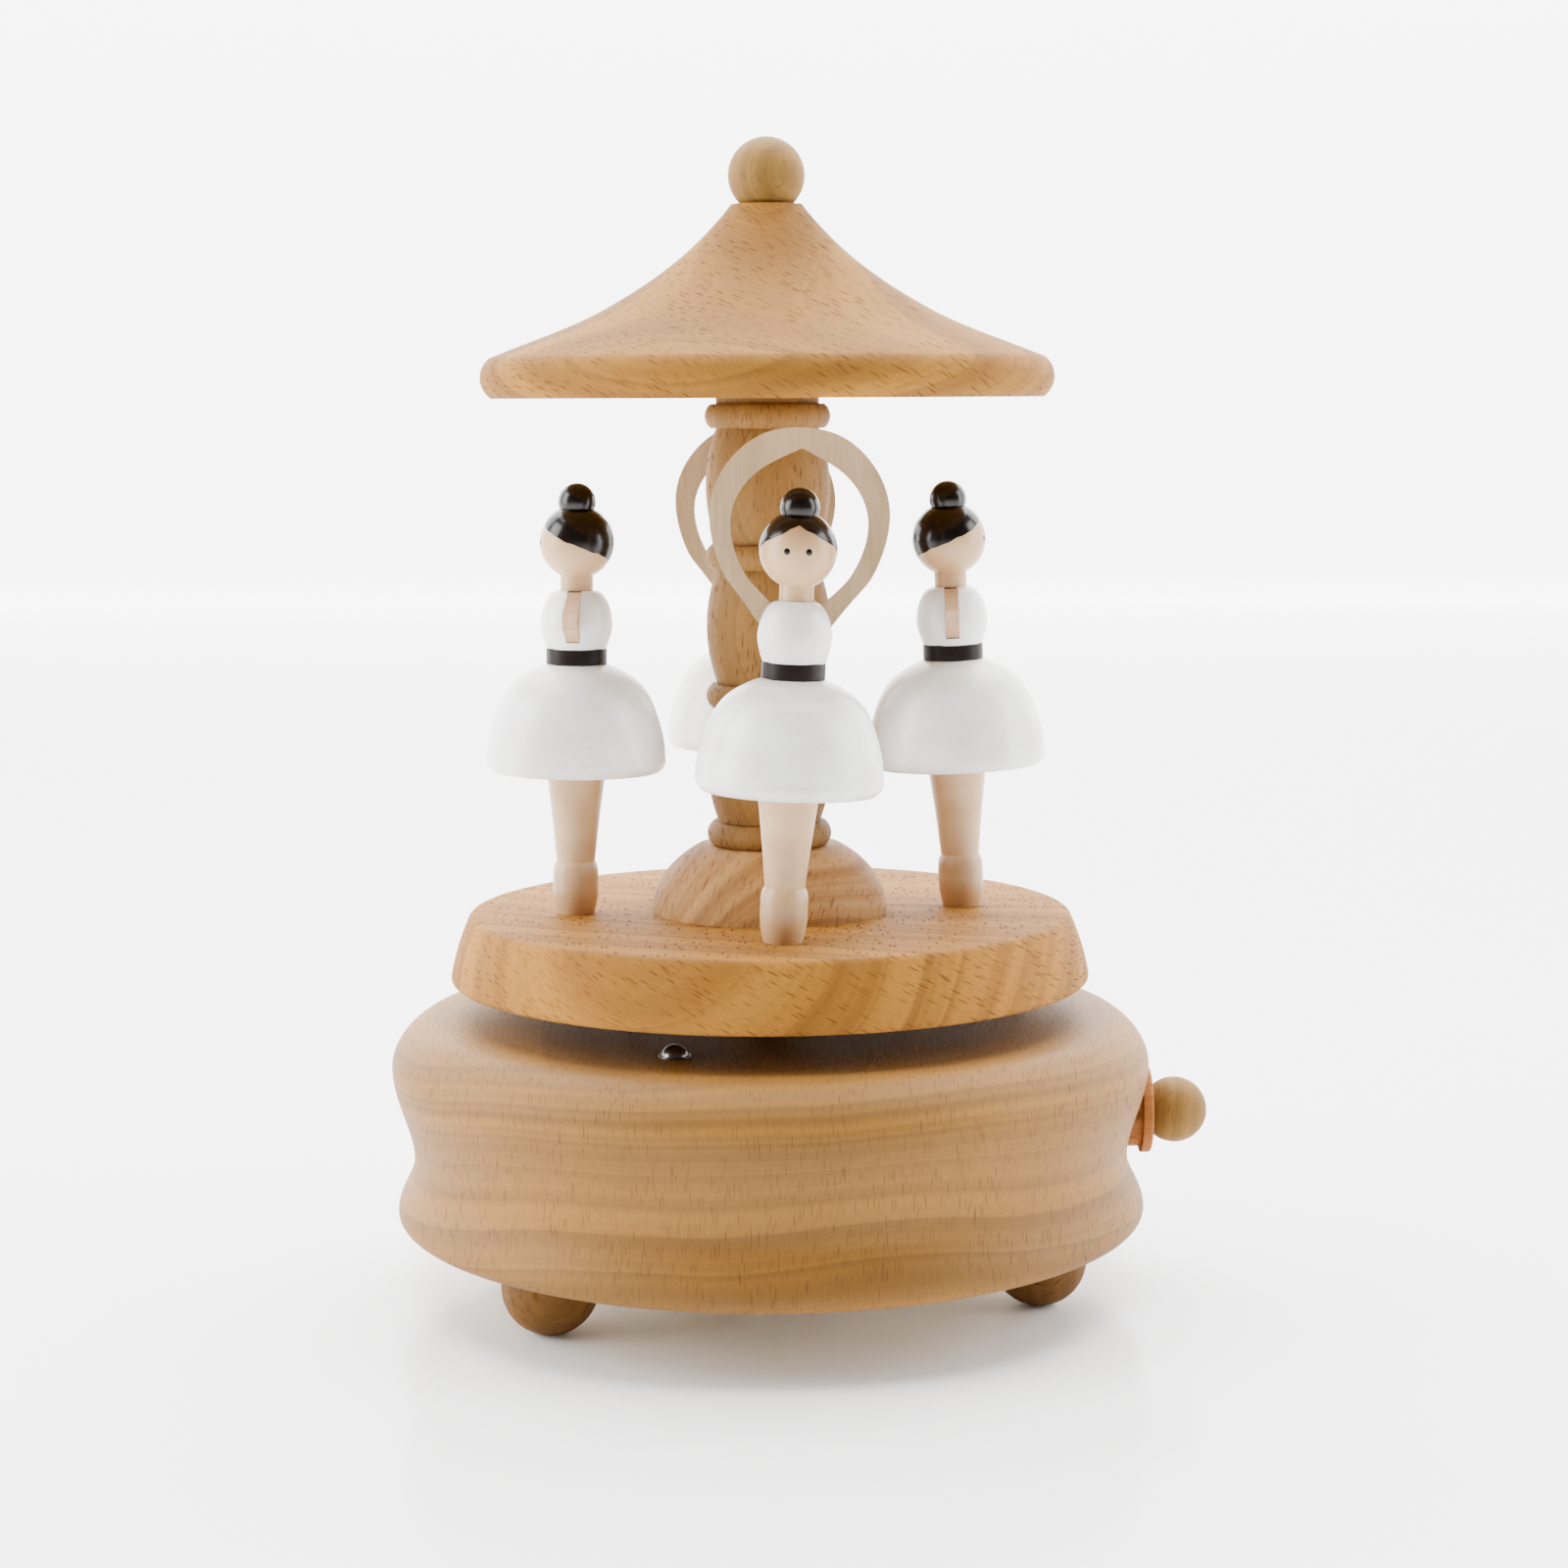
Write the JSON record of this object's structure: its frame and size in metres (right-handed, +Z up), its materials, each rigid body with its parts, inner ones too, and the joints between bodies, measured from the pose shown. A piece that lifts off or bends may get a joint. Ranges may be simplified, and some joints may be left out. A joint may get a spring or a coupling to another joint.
{
  "type": "carousel music box",
  "caption": "Turned beech carousel music box: a round base, a turntable with column and bell roof, and painted ballerinas that ride round it.",
  "frame": {"origin": "on the surface it stands on, under the turning axis of the turntable", "axes": "+Z up along the turning axis; the front is -Y; the stop knob is on +X"},
  "size_m": [0.1243, 0.115, 0.1733],
  "materials": {
    "beech_base": "satin lacquered beech",
    "beech_table": "satin lacquered beech",
    "pale_wood": "satin lacquered pale wood",
    "red_beech": "satin lacquered reddish beech",
    "foot_wood": "satin lacquered wood",
    "dowel_wood": "raw",
    "plywood": "raw birch plywood",
    "dark_steel": "blackened",
    "steel": "bright zinc plated",
    "brass": "turned brass",
    "zinc_casting": "as cast zinc alloy",
    "white_nylon": "moulded nylon",
    "white_paint": "white lacquer on wood",
    "skin_paint": "skin-coloured lacquer on wood"
  },
  "bodies": {
    "base": {"base_housing": "beech_base", "bedplate": "zinc_casting", "bedplate_screws": "steel", "board_screws": "steel", "bottom_board": "plywood", "bumper_tacks": "dark_steel", "comb": "steel", "comb_block": "zinc_casting", "comb_screws": "steel", "cylinder_bearings": "brass", "foot_1": "foot_wood", "foot_2": "foot_wood", "foot_3": "foot_wood", "foot_screws": "steel", "governor_bracket": "steel", "knob_bush": "red_beech", "shaft_bush": "brass"},
    "turntable": {"barrel_lid": "brass", "column": "beech_table", "dancer_dowels": "dowel_wood", "dancer_front_arms": "skin_paint", "dancer_front_head": "skin_paint", "dancer_front_legs": "skin_paint", "dancer_front_skirt": "white_paint", "dancer_front_torso": "white_paint", "dancer_left_arms": "skin_paint", "dancer_left_head": "skin_paint", "dancer_left_legs": "skin_paint", "dancer_left_skirt": "white_paint", "dancer_left_torso": "white_paint", "dancer_rear_arms": "skin_paint", "dancer_rear_head": "skin_paint", "dancer_rear_legs": "skin_paint", "dancer_rear_skirt": "white_paint", "dancer_rear_torso": "white_paint", "dancer_right_arms": "skin_paint", "dancer_right_head": "skin_paint", "dancer_right_legs": "skin_paint", "dancer_right_skirt": "white_paint", "dancer_right_torso": "white_paint", "dome_base": "beech_table", "drive_shaft": "steel", "finial": "pale_wood", "hub_screws": "steel", "mainspring": "steel", "platform": "beech_table", "roof": "beech_table", "spring_barrel": "brass", "turntable_hub": "brass"},
    "winding_key": {"winding_key": "steel", "winding_arbor": "steel"},
    "music_cylinder": {"music_cylinder": "brass", "cylinder_arbor": "steel", "drive_pinion": "white_nylon", "worm_wheel": "white_nylon"},
    "governor": {"governor_shaft": "steel", "fly": "white_nylon"},
    "stop_knob": {"stop_knob": "pale_wood", "stop_rod": "steel"}
  },
  "joints": [
    {"name": "table_turn", "type": "hinge", "parent": "base", "child": "turntable", "pos_m": [0, 0, 0.045], "axis": [0, 0, 1], "continuous": true},
    {"name": "key_turn", "type": "hinge", "parent": "base", "child": "winding_key", "pos_m": [0, 0, 0.006], "axis": [0, 0, 1], "continuous": true},
    {"name": "cylinder_turn", "type": "hinge", "parent": "base", "child": "music_cylinder", "pos_m": [0, 0, 0.02754], "axis": [0.9753, 0.2209, 0], "continuous": true},
    {"name": "governor_turn", "type": "hinge", "parent": "base", "child": "governor", "pos_m": [0.03486, 0, 0.02754], "axis": [0, 0, 1], "continuous": true},
    {"name": "knob_slide", "type": "slide", "parent": "base", "child": "stop_knob", "axis": [1, 0, 0], "range_m": [0, 0.0035]}
  ],
  "couplings": [
    {"joint": "cylinder_turn", "follows": "table_turn", "ratio": 2.3333},
    {"joint": "governor_turn", "follows": "table_turn", "ratio": 46.667}
  ]
}
